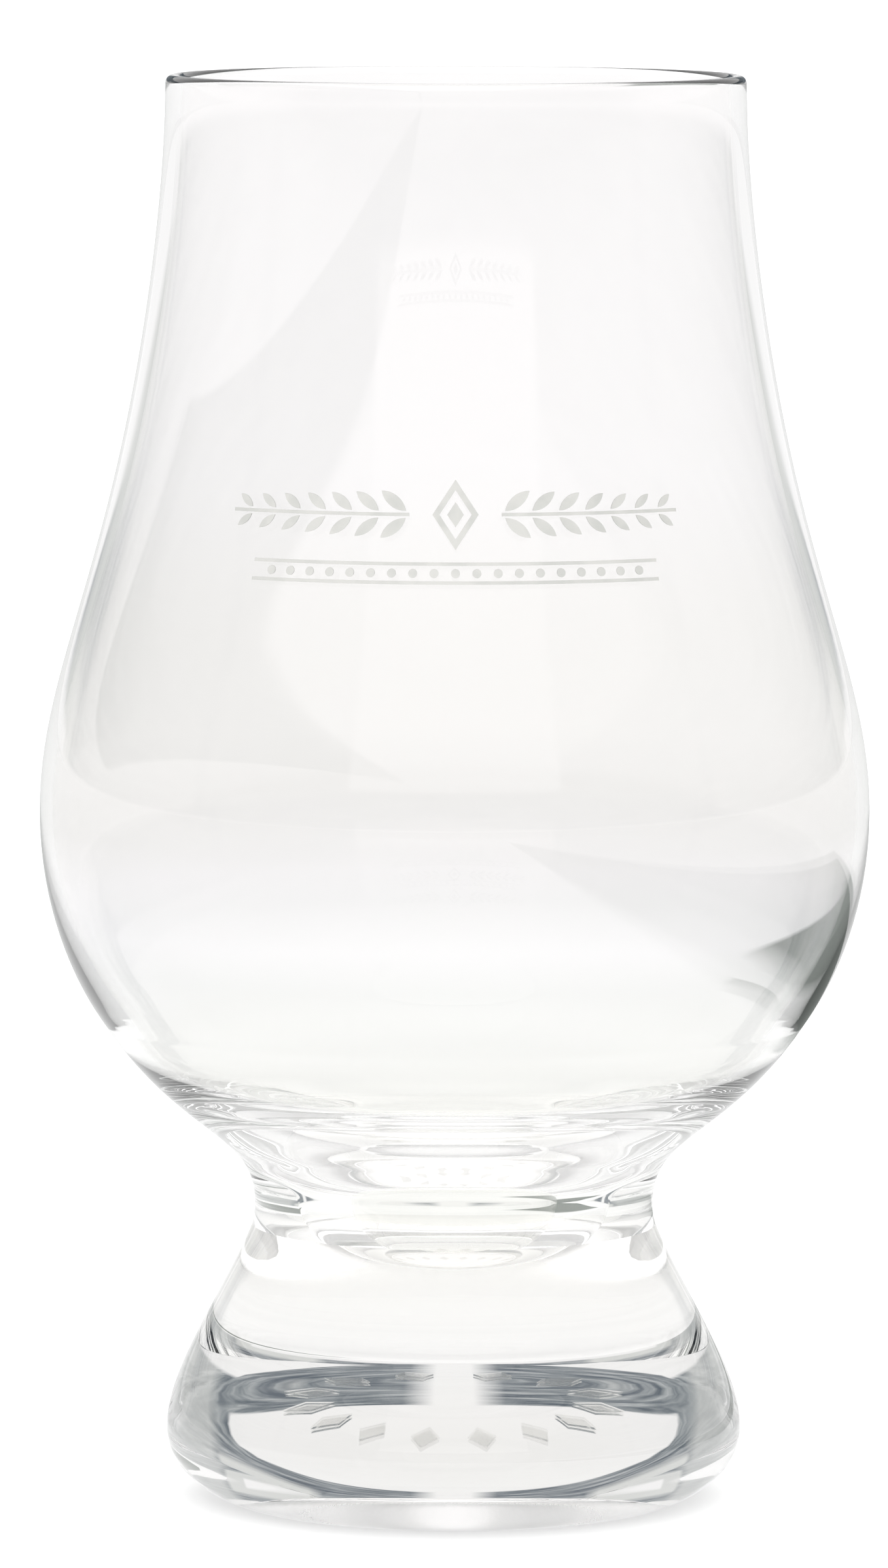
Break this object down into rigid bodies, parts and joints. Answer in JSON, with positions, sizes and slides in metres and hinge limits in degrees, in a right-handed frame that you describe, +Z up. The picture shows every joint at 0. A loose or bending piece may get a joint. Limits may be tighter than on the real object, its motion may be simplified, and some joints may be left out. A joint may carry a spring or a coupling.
{
  "type": "whisky nosing glass",
  "caption": "Tulip-shaped clear nosing glass: a belly that narrows to a tall chimney, on a short solid flared foot.",
  "frame": {"origin": "middle of the base, on the surface that the glass stands on", "axes": "+Z up along the glass's axis; the front with the print faces -Y; +X is to the right of someone who looks at the front"},
  "size_m": [0.0668, 0.0668, 0.115],
  "materials": {
    "bowl_crystal": "clear, fire polished",
    "foot_crystal": "clear, pressed and fire polished",
    "front_enamel": "thin satin fired enamel",
    "base_frost": "thin frosted enamel"
  },
  "bodies": {
    "root": {"bowl": "bowl_crystal", "foot": "foot_crystal", "front_sprigs": "front_enamel", "front_beads": "front_enamel", "base_mark": "base_frost"}
  },
  "joints": []
}
